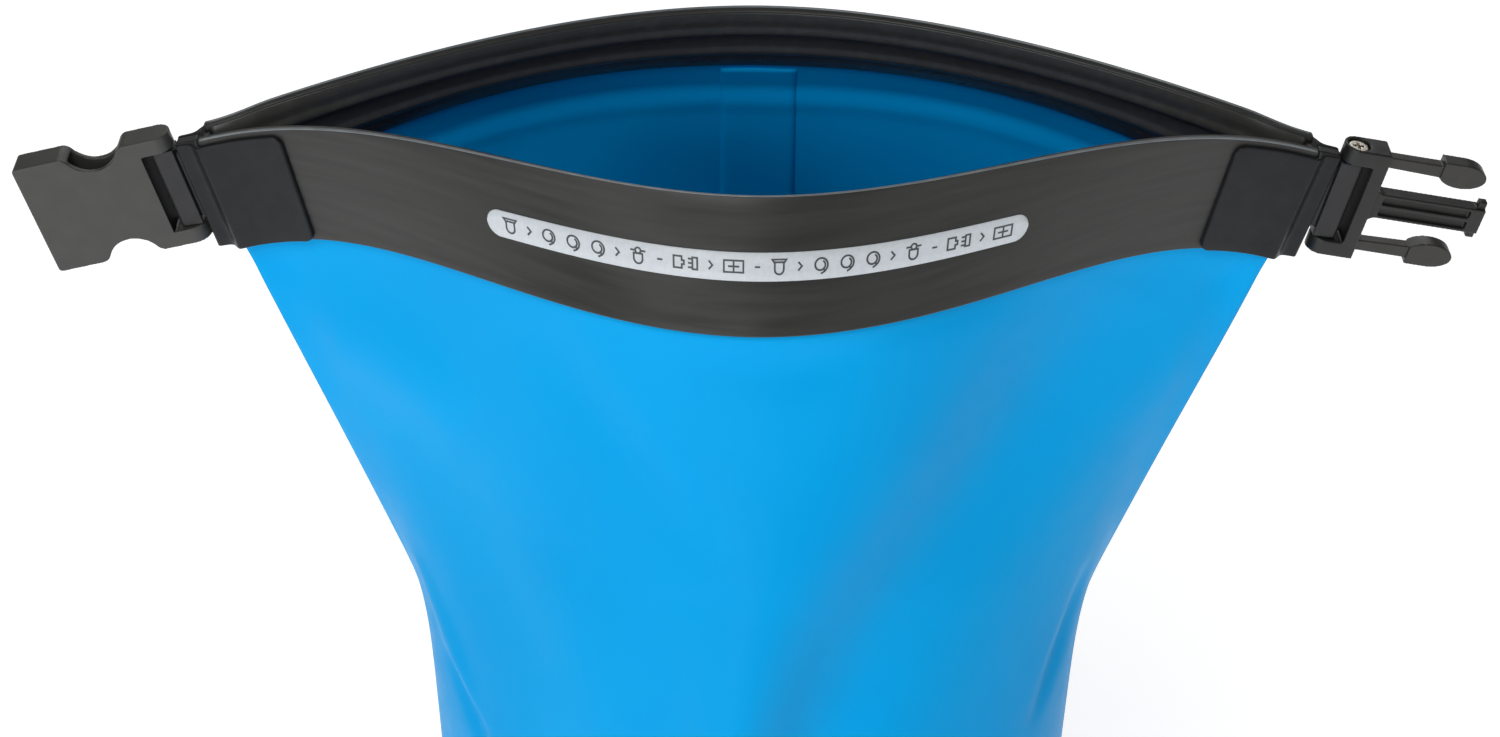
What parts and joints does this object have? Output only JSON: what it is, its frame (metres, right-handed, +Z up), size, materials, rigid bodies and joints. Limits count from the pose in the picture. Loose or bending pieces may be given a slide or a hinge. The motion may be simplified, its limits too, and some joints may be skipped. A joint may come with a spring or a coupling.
{
  "type": "roll-top dry bag",
  "caption": "Round-bottomed roll-top dry bag of coated sheet, mouth open between stiff ribbed bands with a side-release buckle half hinged to each end.",
  "frame": {"origin": "centre of the base's underside, on the surface that the bag stands on", "axes": "+Z up to the mouth, +X along the closed mouth towards the plug, -Y towards the front band with the label"},
  "size_m": [0.4119, 0.2076, 0.5211],
  "materials": {
    "sheet": "satin",
    "sheet_tape": "satin",
    "band": "satin",
    "seal": "satin",
    "label": "matte print",
    "tab": "satin",
    "knuckle": "moulded, fine grain",
    "screw": "turned",
    "buckle": "moulded, fine grain",
    "prong": "moulded, fine grain"
  },
  "bodies": {
    "bag": {"bag_wall": "sheet", "fold_sheet": "sheet", "back_seam_tape": "sheet_tape", "base_panel": "sheet"},
    "closure": {"collar_sheet": "sheet", "front_band": "band", "rear_band": "band", "front_seal_strip": "seal", "rear_seal_strip": "seal", "label": "label", "left_tab": "tab", "right_tab": "tab", "left_knuckle": "knuckle", "right_knuckle": "knuckle"},
    "socket": {"socket_body": "buckle", "left_pin": "screw"},
    "plug": {"plug_body": "buckle", "right_pin": "screw"},
    "upper_prong": {"upper_prong": "prong"},
    "lower_prong": {"lower_prong": "prong"}
  },
  "joints": [
    {"name": "closure_fold", "type": "hinge", "parent": "bag", "child": "closure", "pos_m": [0, 0, 0.44], "axis": [1, 0, 0], "range_deg": [-30, 30], "deforming": ["fold_sheet", "back_seam_tape"]},
    {"name": "socket_swivel", "type": "hinge", "parent": "closure", "child": "socket", "pos_m": [-0.16307, 0, 0.48897], "axis": [-0.2239, 0, 0.9746], "range_deg": [-93, 87]},
    {"name": "plug_swivel", "type": "hinge", "parent": "closure", "child": "plug", "pos_m": [0.16307, 0, 0.48897], "axis": [0.1726, 0, 0.985], "range_deg": [-90, 90]},
    {"name": "upper_prong_flex", "type": "hinge", "parent": "plug", "child": "upper_prong", "pos_m": [0.17426, 0, 0.50127], "axis": [0, 1, 0], "range_deg": [0, 9], "stiffness_Nm_per_rad": 0.03},
    {"name": "lower_prong_flex", "type": "hinge", "parent": "plug", "child": "lower_prong", "pos_m": [0.16941, 0, 0.47359], "axis": [0, -1, 0], "range_deg": [0, 9], "stiffness_Nm_per_rad": 0.03}
  ]
}
